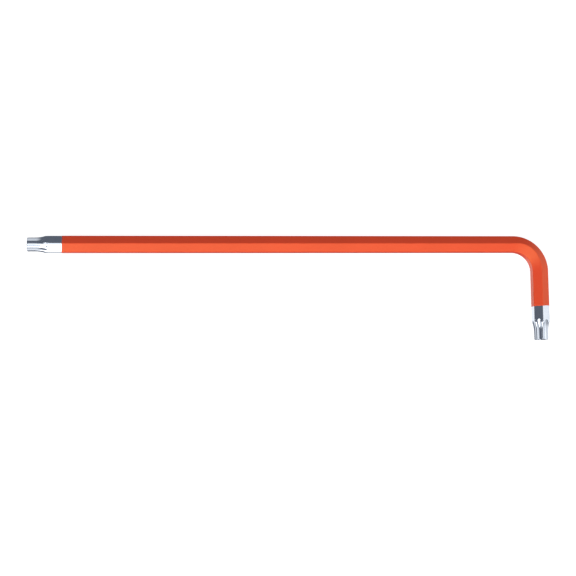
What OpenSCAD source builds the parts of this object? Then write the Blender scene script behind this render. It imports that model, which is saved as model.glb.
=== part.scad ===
// Long-arm star key: a hexagonal steel bar bent into an L, with a six-lobe star formed on
// both ends and a thin colour coat over everything between the bare tips.
// The key lies flat: the long arm runs along X with its tip at -X, the short arm along -Y.

/* [Key] */
// Length from the long tip to the outside of the elbow
long_l = 163.5; // [110:0.5:220]
// Length from the short tip to the outside of the elbow
short_l = 33; // [29:0.5:60]

/* [Bar] */
// Width of the hexagonal bar across its flats
bar_af = 5; // [4.6:0.1:6]
// Radius along the drawn corners of the bar
corner_r = 0.25; // [0.1:0.05:0.6]
// Radius of the elbow on the centreline of the bar
bend_r = 8.7; // [6:0.1:12]

/* [Star tips] */
// Diameter over the turned crests of opposite lobes
star_d = 4.5; // [4.2:0.05:4.8]
// Diameter between the bottoms of opposite flutes
flute_d = 3.25; // [3:0.05:3.5]
// Radius on the shoulders of each lobe
lobe_r = 0.37; // [0.3:0.01:0.45]
// Height that turning takes off the crest of each lobe
crest_cut = 0.03; // [0.01:0.01:0.06]
// Length over which the flutes have their full depth
flute_len = 2.6; // [2:0.1:4]
// Radius on which the flutes run out through the flats of the bar
runout_r = 9; // [7:0.1:14]
// Length over which the crests are turned straight
turn_len = 2.1; // [1.5:0.1:4]
// Radius of the turned hollow from the crests up to the corners of the bar
turn_r = 9; // [6:0.5:16]
// Chamfer round the end of each star
tip_chamfer = 0.2; // [0.1:0.05:0.4]

/* [Colour coat] */
// Thickness of the coat
coat_t = 0.04; // [0.02:0.01:0.3]
// Bare length at the long tip
long_bare = 10.6; // [9:0.1:30]
// Bare length at the short tip
short_bare = 10.8; // [9:0.1:12]

/* [Hidden] */

// Flat steps in each corner, lobe shoulder, flute and turned hollow
corner_steps = 4;
shoulder_steps = 4;
flute_steps = 6;
turn_steps = 8;

// Distance that each cutter and blank stands clear of the metal around it
cut_over = 1;

// From the axis of the bar to the centre of a corner radius, and to the corner itself
corner_reach = (bar_af / 2 - corner_r) / cos(30);
corner_tip = corner_reach + corner_r;

// Half width of the coated bar, and where the axes of the two arms lie
coated_half = bar_af / 2 + coat_t;
axis_x = long_l / 2 - coated_half;
axis_y = short_l / 2 - coated_half;
axis_z = corner_tip + coat_t;

// Centre of the elbow, and the straight length of each arm
elbow_x = axis_x - bend_r;
elbow_y = axis_y - bend_r;
long_straight = elbow_x + long_l / 2;
short_straight = elbow_y + short_l / 2;

// From the axis to the centre of a lobe's shoulder radius, and to the bottom of a flute
lobe_reach = star_d / 2 + crest_cut - lobe_r;
flute_bottom = flute_d / 2;
// Radius of the flute that runs smoothly into the lobes on both sides of it
flute_r = (lobe_r ^ 2 - lobe_reach ^ 2 - flute_bottom ^ 2 + sqrt(3) * lobe_reach * flute_bottom)
    / (2 * flute_bottom - sqrt(3) * lobe_reach - 2 * lobe_r);
flute_reach = flute_bottom + flute_r;
// Half angle of the flute's arc, about its own centre
flute_half = atan2(lobe_reach * sin(30), flute_reach - lobe_reach * cos(30));
// Where a shoulder's arc starts, a little short of the crest at 30 degrees that turning takes off
crest_side = 20;

// Outer edge of the cutters and blanks, and the axis on which a flute cutter swings out of the bar
cutter_reach = corner_tip + cut_over;
swing_reach = flute_bottom + runout_r;
turn_sweep = acos(1 - (cutter_reach - star_d / 2) / turn_r);
runout_sweep = acos(1 - (bar_af / 2 + cut_over - flute_bottom) / runout_r);

function ray(angle, radius) = [radius * cos(angle), radius * sin(angle)];

// Hexagon with rounded corners, all its faces moved outwards by grow
function hex_outline(grow) = [
    for (k = [0:5])
        for (j = [0:corner_steps])
            ray(30 + 60 * k, corner_reach) + ray(60 * (k + j / corner_steps), corner_r + grow)
];

// Shoulder of the lobe at 30 degrees, from beside its turned crest round to the start of the flute
function shoulder() = [
    for (j = [0:shoulder_steps])
        ray(30, lobe_reach) + ray(crest_side - (crest_side + flute_half) * j / shoulder_steps, lobe_r)
];

// Hollow of the flute along +X, between the ends of the shoulders
function hollow() = [
    for (j = [1:flute_steps - 1])
        [flute_reach, 0] + ray(180 - flute_half + 2 * flute_half * j / flute_steps, flute_r)
];

// Space between two lobes, open outwards
function flute_outline() = concat(
    [[cutter_reach, shoulder()[0].y]],
    shoulder(),
    hollow(),
    [for (j = [shoulder_steps:-1:0]) [shoulder()[j].x, -shoulder()[j].y]],
    [[cutter_reach, -shoulder()[0].y]]
);

// Cuts one flute along +X from the end of the bar at z = 0, and its run-out
module flute_cut() {
    translate([0, 0, -cut_over])
        linear_extrude(cut_over + flute_len)
            polygon(flute_outline());
    translate([swing_reach, 0, flute_len])
        rotate([90, 0, 180])
            rotate_extrude(angle = runout_sweep, $fn = 96)
                polygon([for (p = flute_outline()) [swing_reach - p.x, p.y]]);
}

// Round blank from z = 0 that an arm is turned to: a chamfer, the crests and the hollow above them
module turned_blank(length) {
    rotate_extrude($fn = 96)
        polygon(concat(
            [
                [0, 0],
                [star_d / 2 - tip_chamfer, 0],
                [star_d / 2, tip_chamfer]
            ],
            [
                for (j = [0:turn_steps])
                    let (a = turn_sweep * j / turn_steps)
                        [star_d / 2 + turn_r * (1 - cos(a)), turn_len + turn_r * sin(a)]
            ],
            [
                [cutter_reach, length + cut_over],
                [0, length + cut_over]
            ]
        ));
}

// Straight arm of the bar from its tip at z = 0, with the star formed on it
module star_arm(length) {
    difference() {
        intersection() {
            linear_extrude(length)
                polygon(hex_outline(0));
            turned_blank(length);
        }
        for (k = [0:5])
            rotate([0, 0, 60 * k])
                flute_cut();
    }
}

// Section of the coat, which fits the bar all round
module coat_ring() {
    difference() {
        polygon(hex_outline(coat_t));
        polygon(hex_outline(0));
    }
}

// Carries a section round the elbow
module round_elbow() {
    translate([elbow_x, elbow_y, axis_z])
        rotate_extrude(angle = 90, $fn = 96)
            translate([bend_r, 0])
                children();
}

// Bent steel bar with its two star tips
module steel_bar() {
    color("silver") {
        translate([-long_l / 2, axis_y, axis_z])
            rotate([90, 0, 90])
                star_arm(long_straight);
        round_elbow()
            polygon(hex_outline(0));
        translate([axis_x, -short_l / 2, axis_z])
            rotate([-90, 0, 0])
                star_arm(short_straight);
    }
}

// Baked colour coat that wraps the bar between the bare tips
module colour_coat() {
    color("orangered") {
        translate([long_bare - long_l / 2, axis_y, axis_z])
            rotate([90, 0, 90])
                linear_extrude(long_straight - long_bare)
                    coat_ring();
        round_elbow()
            coat_ring();
        translate([axis_x, short_bare - short_l / 2, axis_z])
            rotate([-90, 0, 0])
                linear_extrude(short_straight - short_bare)
                    coat_ring();
    }
}

steel_bar();
colour_coat();
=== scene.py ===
import math

import bmesh
import bpy
from mathutils import Matrix, Vector


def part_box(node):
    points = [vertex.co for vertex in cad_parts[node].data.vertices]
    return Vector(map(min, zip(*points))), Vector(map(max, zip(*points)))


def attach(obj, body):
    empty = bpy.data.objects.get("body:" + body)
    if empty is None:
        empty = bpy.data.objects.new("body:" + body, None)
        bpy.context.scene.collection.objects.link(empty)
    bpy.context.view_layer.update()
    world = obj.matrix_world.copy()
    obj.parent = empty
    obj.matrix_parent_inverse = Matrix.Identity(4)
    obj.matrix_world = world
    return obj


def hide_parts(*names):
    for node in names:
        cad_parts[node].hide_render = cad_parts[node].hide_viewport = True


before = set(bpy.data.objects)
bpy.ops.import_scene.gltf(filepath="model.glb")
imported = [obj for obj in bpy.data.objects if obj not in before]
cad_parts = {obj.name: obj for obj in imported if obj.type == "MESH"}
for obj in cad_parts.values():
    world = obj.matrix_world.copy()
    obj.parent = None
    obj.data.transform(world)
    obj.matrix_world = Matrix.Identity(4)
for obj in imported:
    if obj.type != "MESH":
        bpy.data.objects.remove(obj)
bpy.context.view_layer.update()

# Steel bar: one length of hexagonal tool steel. A star is turned and fluted on each end while the bar is
# straight, the bar is then bent through a right angle over a round former, and all of it is bright plated.
mm = 0.001
bar_lo, bar_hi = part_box("steel_bar")
half_flats = 2.5 * mm
half_corners = (bar_hi.z - bar_lo.z) / 2
bend_radius = 8.7 * mm

half_corner_angle = math.radians(30)
corner_gain = 1 / math.cos(half_corner_angle)
corner_radius = (half_flats * corner_gain - half_corners) / (corner_gain - 1)

axis = Vector((bar_hi.x - half_flats, bar_hi.y - half_flats, (bar_lo.z + bar_hi.z) / 2))
elbow = axis - Vector((bend_radius, bend_radius, 0))
quarter_turn = math.radians(90)
long_straight = elbow.x - bar_lo.x
short_straight = elbow.y - bar_lo.y
bend_end = long_straight + bend_radius * quarter_turn
bar_length = bend_end + short_straight

star_radius = 2.25 * mm
flute_bottom = 1.625 * mm
lobe_radius = 0.37 * mm
crest_cut = 0.03 * mm
lobe_reach = star_radius + crest_cut - lobe_radius
flute_length = 2.6 * mm
runout_radius = 9 * mm
turned_length = 2.1 * mm
turn_radius = 9 * mm
end_chamfer = 0.2 * mm
edge_blend = 0.05 * mm
runout_length = 4 * mm
forming_end = flute_length + runout_length
corner_draw = 1.1 * mm

lobe_x = lobe_reach * math.cos(half_corner_angle)
lobe_y = lobe_reach * math.sin(half_corner_angle)
flute_radius = (lobe_x**2 + lobe_y**2 - lobe_radius**2 + flute_bottom**2 - 2 * lobe_x * flute_bottom) / (
    2 * (lobe_radius - flute_bottom + lobe_x)
)
flute_reach = flute_bottom + flute_radius
flute_half_angle = math.atan2(lobe_y, flute_reach - lobe_x)


def from_flat(angle):
    """How far a direction round the bar lies from the middle of the nearest flat."""
    return abs((angle + half_corner_angle) % (2 * half_corner_angle) - half_corner_angle)


def hexagon(angle, grow):
    """Reach of the hexagonal section with its drawn corner radii, all its faces moved out by grow."""
    off = from_flat(angle)
    arc = corner_radius + grow
    arc_reach = half_corners - corner_radius
    if math.tan(off) * (half_flats + grow) < arc_reach * math.sin(half_corner_angle):
        return (half_flats + grow) / math.cos(off)
    lean = half_corner_angle - off
    return arc_reach * math.cos(lean) + math.sqrt(arc**2 - (arc_reach * math.sin(lean)) ** 2)


def hollow_rise(radius, run):
    """Height of a circular hollow at a run past its lowest point."""
    return radius - math.sqrt(radius**2 - max(run, 0) ** 2)


def lower(first, second):
    """The lower of two surfaces, with the edge where they cross eased as polishing leaves it."""
    ease = max(edge_blend - abs(first - second), 0)
    return min(first, second) - ease**2 / (4 * edge_blend)


def fluted(angle, from_tip):
    """Reach of the flute cut: its hollow between two lobes, lifted where it runs out."""
    off = from_flat(angle)
    lift = hollow_rise(runout_radius, from_tip - flute_length)
    edge_x = flute_reach + lift - flute_radius * math.cos(flute_half_angle)
    edge_y = flute_radius * math.sin(flute_half_angle)
    if math.tan(off) * edge_x < edge_y:
        centre = flute_reach + lift
        return centre * math.cos(off) - math.sqrt(flute_radius**2 - (centre * math.sin(off)) ** 2)
    beside = (lobe_x + lift) * math.sin(off) - lobe_y * math.cos(off)
    if abs(beside) >= lobe_radius:
        return 2 * half_corners
    return (lobe_x + lift) * math.cos(off) + lobe_y * math.sin(off) + math.sqrt(lobe_radius**2 - beside**2)


def formed_bar(angle, along):
    """Place along the bar with its two formed ends, and reach there in a direction round it."""
    from_tip = min(along, bar_length - along)
    if from_tip > forming_end:
        return along, hexagon(angle, 0)
    turned = star_radius + hollow_rise(turn_radius, from_tip - turned_length)
    turned = lower(turned, star_radius - end_chamfer + from_tip)
    return along, lower(lower(hexagon(angle, 0), turned), fluted(angle, from_tip))


def place_ring(verts, turn, along, section):
    """Puts a ring's points round the straight bar, each at its own direction."""
    for vert in verts:
        place, reach = section(vert[turn], along)
        vert.co = Vector((bar_lo.x + place, axis.y, axis.z))
        vert.co.y += reach * math.cos(vert[turn])
        vert.co.z += reach * math.sin(vert[turn])


def draw_tube(bm, segments, places, section):
    """Draws a section along the straight bar, and returns the edges of the first and last rings.
    The points crowd towards the corners, where the section turns."""
    crowding = 0.6
    corners = 6
    turn = bm.verts.layers.float.get("turn") or bm.verts.layers.float.new("turn")
    verts = bmesh.ops.create_circle(bm, segments=segments, radius=1)["verts"]
    for vert in verts:
        angle = math.atan2(vert.co.y, vert.co.x)
        vert[turn] = angle + crowding * math.sin(corners * angle) / corners
    first = [edge for edge in bm.edges if edge.is_wire]
    place_ring(verts, turn, places[0], section)
    ring = first
    for along in places[1:]:
        grown = bmesh.ops.extrude_edge_only(bm, edges=ring)["geom"]
        place_ring([part for part in grown if isinstance(part, bmesh.types.BMVert)], turn, along, section)
        ring = [part for part in grown if isinstance(part, bmesh.types.BMEdge) and part.is_boundary]
    return first, ring


def bend(bm):
    """Keeps each point's place on the straight bar as drawn_place, then lays the bar round the former.
    The former's grip draws the top and bottom corners outwards over the first half of the bend."""
    drawn = bm.verts.layers.float_vector.new("drawn_place")
    for vert in bm.verts:
        vert[drawn] = vert.co - Vector((bar_lo.x, axis.y, axis.z))
        turned = min(max((vert.co.x - elbow.x) / bend_radius, 0), quarter_turn)
        nearness = max(2 * abs(vert.co.z - axis.z) / half_corners - 1, 0)
        vert.co.y += corner_draw * nearness * math.sin(turned) * math.cos(turned) ** 2
        vert.co.x -= turned * bend_radius
        vert.co = elbow + Matrix.Rotation(-turned, 3, "Z") @ (vert.co - elbow)


def finish_piece(bm, name, material):
    """Makes a smooth-shaded object of a mesh."""
    bmesh.ops.recalc_face_normals(bm, faces=bm.faces)
    for face in bm.faces:
        face.smooth = True
    mesh = bpy.data.meshes.new(name)
    bm.to_mesh(mesh)
    bm.free()
    mesh.materials.append(material)
    piece = bpy.data.objects.new(name, mesh)
    bpy.context.scene.collection.objects.link(piece)
    return piece


bend_steps = 48
bend_places = [long_straight + bend_radius * quarter_turn * j / bend_steps for j in range(bend_steps + 1)]
forming_steps = 72
forming_run = forming_end - turned_length
# Rings crowd round the edge of the end chamfer, which is eased
chamfer_rings = (0, 0.1, 0.16, 0.19, 0.22, 0.26, 0.35, 1.2)
tip_places = [place * mm for place in chamfer_rings]
tip_places += [turned_length + forming_run * j / forming_steps for j in range(forming_steps + 1)]
bar_places = tip_places + bend_places + [bar_length - place for place in reversed(tip_places)]

bar_segments = 216
end_insets = (0.04 * mm, 0.1 * mm)
bar_mesh = bmesh.new()
ends = draw_tube(bar_mesh, bar_segments, bar_places, formed_bar)
for end in ends:
    face = bmesh.ops.contextual_create(bar_mesh, geom=end)["faces"][0]
    for inset in end_insets:
        bmesh.ops.inset_region(bar_mesh, faces=[face], thickness=inset, use_even_offset=True)
bend(bar_mesh)

# Unevenness that both finishes share, read from the place on the straight bar so that it follows the bend:
# a slow cloud, and a fine grain that can be drawn out along the bar.
uneven = bpy.data.node_groups.new("uneven_finish", "ShaderNodeTree")
uneven.interface.new_socket("Place", in_out="INPUT", socket_type="NodeSocketVector")
uneven.interface.new_socket("Cloud Size", in_out="INPUT", socket_type="NodeSocketFloat")
uneven.interface.new_socket("Grain Size", in_out="INPUT", socket_type="NodeSocketVector")
uneven.interface.new_socket("Cloud", in_out="OUTPUT", socket_type="NodeSocketFloat")
uneven.interface.new_socket("Grain", in_out="OUTPUT", socket_type="NodeSocketFloat")
given = uneven.nodes.new("NodeGroupInput").outputs
result = uneven.nodes.new("NodeGroupOutput").inputs
for size, output in (("Cloud Size", "Cloud"), ("Grain Size", "Grain")):
    spread = uneven.nodes.new("ShaderNodeVectorMath")
    spread.operation = "DIVIDE"
    uneven.links.new(given["Place"], spread.inputs[0])
    uneven.links.new(given[size], spread.inputs[1])
    noise = uneven.nodes.new("ShaderNodeTexNoise")
    noise.inputs["Scale"].default_value = 1
    noise.inputs["Detail"].default_value = 3
    uneven.links.new(spread.outputs["Vector"], noise.inputs["Vector"])
    uneven.links.new(noise.outputs["Fac"], result[output])


def new_finish(name, cloud_size, grain_size):
    """Starts a material, and returns its nodes' tree, its shader and the outputs of its unevenness."""
    material = bpy.data.materials.new(name)
    material.use_nodes = True
    tree = material.node_tree
    place = tree.nodes.new("ShaderNodeAttribute")
    place.attribute_name = "drawn_place"
    unevenness = tree.nodes.new("ShaderNodeGroup")
    unevenness.node_tree = uneven
    unevenness.inputs["Cloud Size"].default_value = cloud_size
    unevenness.inputs["Grain Size"].default_value = grain_size
    tree.links.new(place.outputs["Vector"], unevenness.inputs["Place"])
    return material, tree, tree.nodes["Principled BSDF"], unevenness.outputs


def between(tree, mask, low, high, socket):
    """Runs a shader's value or colour between two ends as a mask goes from its low to its high parts."""
    noise_low = 0.3
    noise_high = 0.7
    ramp = tree.nodes.new("ShaderNodeMapRange")
    ramp.inputs["From Min"].default_value = noise_low
    ramp.inputs["From Max"].default_value = noise_high
    tree.links.new(mask, ramp.inputs["Value"])
    if socket.type == "RGBA":
        mix = tree.nodes.new("ShaderNodeMix")
        mix.data_type = "RGBA"
        mix.inputs["A"].default_value = low
        mix.inputs["B"].default_value = high
        tree.links.new(ramp.outputs["Result"], mix.inputs["Factor"])
        tree.links.new(mix.outputs["Result"], socket)
        return
    ramp.inputs["To Min"].default_value = low
    ramp.inputs["To Max"].default_value = high
    tree.links.new(ramp.outputs["Result"], socket)


def raise_bumps(tree, mask, height, strength, shader):
    """Gives a shader bumps of a height in metres."""
    bumps = tree.nodes.new("ShaderNodeBump")
    bumps.inputs["Distance"].default_value = height
    bumps.inputs["Strength"].default_value = strength
    tree.links.new(mask, bumps.inputs["Height"])
    tree.links.new(bumps.outputs["Normal"], shader.inputs["Normal"])


plate_cloud = 1.5 * mm
drawing_lines = (1.6 * mm, 0.05 * mm, 0.05 * mm)
plate_dull = (0.75, 0.80, 0.87, 1)
plate_bright = (0.81, 0.85, 0.91, 1)
chrome, tree, plate, unevenness = new_finish("bright_plate", plate_cloud, drawing_lines)
plate.inputs["Metallic"].default_value = 1
between(tree, unevenness["Cloud"], plate_dull, plate_bright, plate.inputs["Base Color"])
between(tree, unevenness["Grain"], 0.07, 0.15, plate.inputs["Roughness"])
raise_bumps(tree, unevenness["Grain"], 0.0015 * mm, 0.4, plate)

bar = finish_piece(bar_mesh, "plated_bar", chrome)
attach(bar, "root")
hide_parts("steel_bar")

# Colour coat: a thin baked film, glossy orange-red, that grips the bar between its bare ends. Its rims
# were masked, so they are rounded, stand a little proud and waver slightly round the bar.
coat_lo, coat_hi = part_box("colour_coat")
coat_film = coat_hi.x - bar_hi.x
coat_start = coat_lo.x - bar_lo.x
coat_end = bar_length - (coat_lo.y - bar_lo.y)
rim_run = 0.16 * mm
rim_lip = 0.3
rim_skew = 0.2 * mm
rim_waver = 0.03 * mm
waves_round = 5
skew_fade = 3 * mm


def film_face(angle, along):
    """Place and reach of the film's outer face, rounded off at rims that reach further inside the elbow."""
    from_rim = min(along - coat_start, coat_end - along)
    round_off = math.sqrt(1 - max(1 - from_rim / rim_run, 0) ** 2)
    towards_tip = rim_skew * (1 - math.cos(angle)) / 2 + rim_waver * math.sin(waves_round * angle)
    towards_tip *= max(1 - from_rim / skew_fade, 0)
    if along - coat_start < coat_end - along:
        towards_tip = -towards_tip
    return along + towards_tip, hexagon(angle, coat_film * (rim_lip + (1 - rim_lip) * round_off))


def bar_face(angle, along):
    """Place and reach of the film's inner face, which grips the bar."""
    return film_face(angle, along)[0], hexagon(angle, 0)


rim_steps = 6
rim_places = [rim_run * (1 - math.cos(quarter_turn * j / rim_steps)) for j in range(rim_steps + 1)]
rim_places += [skew_fade]
straight_steps = 26
straight_places = [
    coat_start + skew_fade + (long_straight - coat_start - skew_fade) * j / straight_steps
    for j in range(1, straight_steps)
]
film_places = [coat_start + place for place in rim_places] + straight_places + bend_places
film_places += [coat_end - place for place in reversed(rim_places)]
grip_places = [coat_start, coat_start + skew_fade] + bend_places + [coat_end - skew_fade, coat_end]

coat_segments = 144
coat_mesh = bmesh.new()
film_rims = draw_tube(coat_mesh, coat_segments, film_places, film_face)
grip_rims = draw_tube(coat_mesh, coat_segments, grip_places, bar_face)
for film_rim, grip_rim in zip(film_rims, grip_rims):
    bmesh.ops.bridge_loops(coat_mesh, edges=film_rim + grip_rim)
bend(coat_mesh)

coat_cloud = 9 * mm
orange_peel = (0.45 * mm, 0.35 * mm, 0.35 * mm)
coat_deep = (0.83, 0.072, 0.029, 1)
coat_light = (0.87, 0.076, 0.031, 1)
paint, tree, film, unevenness = new_finish("baked_colour", coat_cloud, orange_peel)
film.inputs["Specular Tint"].default_value = (1, 0.95, 0.36, 1)
between(tree, unevenness["Cloud"], coat_deep, coat_light, film.inputs["Base Color"])
between(tree, unevenness["Cloud"], 0.39, 0.34, film.inputs["Roughness"])
raise_bumps(tree, unevenness["Grain"], 0.006 * mm, 0.5, film)

coat = finish_piece(coat_mesh, "baked_coat", paint)
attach(coat, "root")
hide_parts("colour_coat")

# Pale table that the key lies on, lit from within so that it stays white under the key. It is left out of the
# key's reflections and bounced light, and the lowest of the studio's panels stands in for it there.
table_size = 6
table_mesh = bmesh.new()
bmesh.ops.create_grid(table_mesh, x_segments=1, y_segments=1, size=table_size / 2)
table_white = bpy.data.materials.new("pale_table")
table_white.use_nodes = True
table_face = table_white.node_tree.nodes["Principled BSDF"]
table_face.inputs["Base Color"].default_value = (0.45, 0.45, 0.45, 1)
table_face.inputs["Roughness"].default_value = 1
table_face.inputs["Specular IOR Level"].default_value = 0
table_face.inputs["Emission Color"].default_value = (1, 1, 1, 1)
table_face.inputs["Emission Strength"].default_value = 0.85
table = finish_piece(table_mesh, "pale_table", table_white)
table.visible_glossy = False
table.visible_diffuse = False

# Soft studio light: dim bluish surroundings and large round panels with soft edges, set far off round the
# key. The camera itself sees plain white past the table.
studio = bpy.data.worlds.new("studio")
bpy.context.scene.world = studio
studio.use_nodes = True
sky = studio.node_tree
sky.nodes.clear()
direction = sky.nodes.new("ShaderNodeTexCoord").outputs["Generated"]
panels = [
    # towards (right, back, up), full out to, gone by (degrees), brightness
    ((-0.22, -0.81, 0.545), 20, 40, 1.75),
    ((-0.62, -0.55, 0.56), 8, 27, 3.3),
    ((0.3, 0.2, 0.93), 24, 42, 0.62),
    ((0.93, 0.12, 0.34), 20, 48, 0.88),
    ((-0.56, 0.1, -0.82), 26, 44, 0.95),
]
panel_light = sky.nodes.new("ShaderNodeValue").outputs[0]
panel_light.default_value = 0
for towards, full, gone, brightness in panels:
    facing = sky.nodes.new("ShaderNodeVectorMath")
    facing.operation = "DOT_PRODUCT"
    sky.links.new(direction, facing.inputs[0])
    facing.inputs[1].default_value = Vector(towards).normalized()
    panel = sky.nodes.new("ShaderNodeMapRange")
    panel.interpolation_type = "SMOOTHSTEP"
    panel.inputs["From Min"].default_value = math.cos(math.radians(gone))
    panel.inputs["From Max"].default_value = math.cos(math.radians(full))
    panel.inputs["To Max"].default_value = brightness
    sky.links.new(facing.outputs["Value"], panel.inputs["Value"])
    total = sky.nodes.new("ShaderNodeMath")
    sky.links.new(panel_light, total.inputs[0])
    sky.links.new(panel.outputs["Result"], total.inputs[1])
    panel_light = total.outputs[0]
lit = sky.nodes.new("ShaderNodeBackground")
lit.inputs["Color"].default_value = (1, 1, 1, 1)
sky.links.new(panel_light, lit.inputs["Strength"])
dim = sky.nodes.new("ShaderNodeBackground")
dim.inputs["Color"].default_value = (0.12, 0.135, 0.165, 1)
around = sky.nodes.new("ShaderNodeAddShader")
sky.links.new(lit.outputs[0], around.inputs[0])
sky.links.new(dim.outputs[0], around.inputs[1])
plain = sky.nodes.new("ShaderNodeBackground")
plain.inputs["Color"].default_value = (1, 1, 1, 1)
choose = sky.nodes.new("ShaderNodeMixShader")
sky.links.new(sky.nodes.new("ShaderNodeLightPath").outputs["Is Camera Ray"], choose.inputs["Fac"])
sky.links.new(around.outputs[0], choose.inputs[1])
sky.links.new(plain.outputs[0], choose.inputs[2])
sky.links.new(choose.outputs[0], sky.nodes.new("ShaderNodeOutputWorld").inputs["Surface"])
bpy.context.scene.view_settings.view_transform = "Standard"

# Camera, high over the key and a little towards its long tip and its open side.
view_centre = Vector((-1.822 * mm, 0.351 * mm, axis.z))
view_distance = 435.6 * mm
lean_to_tip = math.radians(7.85)
lean_to_front = math.radians(5.2)
view_roll = math.radians(-0.94)
camera_data = bpy.data.cameras.new("camera")
camera_data.lens = 87.5
camera_data.sensor_width = 36
camera = bpy.data.objects.new("camera", camera_data)
bpy.context.scene.collection.objects.link(camera)
back = Vector((-math.tan(lean_to_tip), -math.tan(lean_to_front), 1)).normalized()
right = Vector((0, 1, 0)).cross(back).normalized()
facing_frame = Matrix((right, back.cross(right), back)).transposed().to_4x4()
camera.matrix_world = (
    Matrix.Translation(view_centre + view_distance * back) @ facing_frame @ Matrix.Rotation(view_roll, 4, "Z")
)
bpy.context.scene.camera = camera
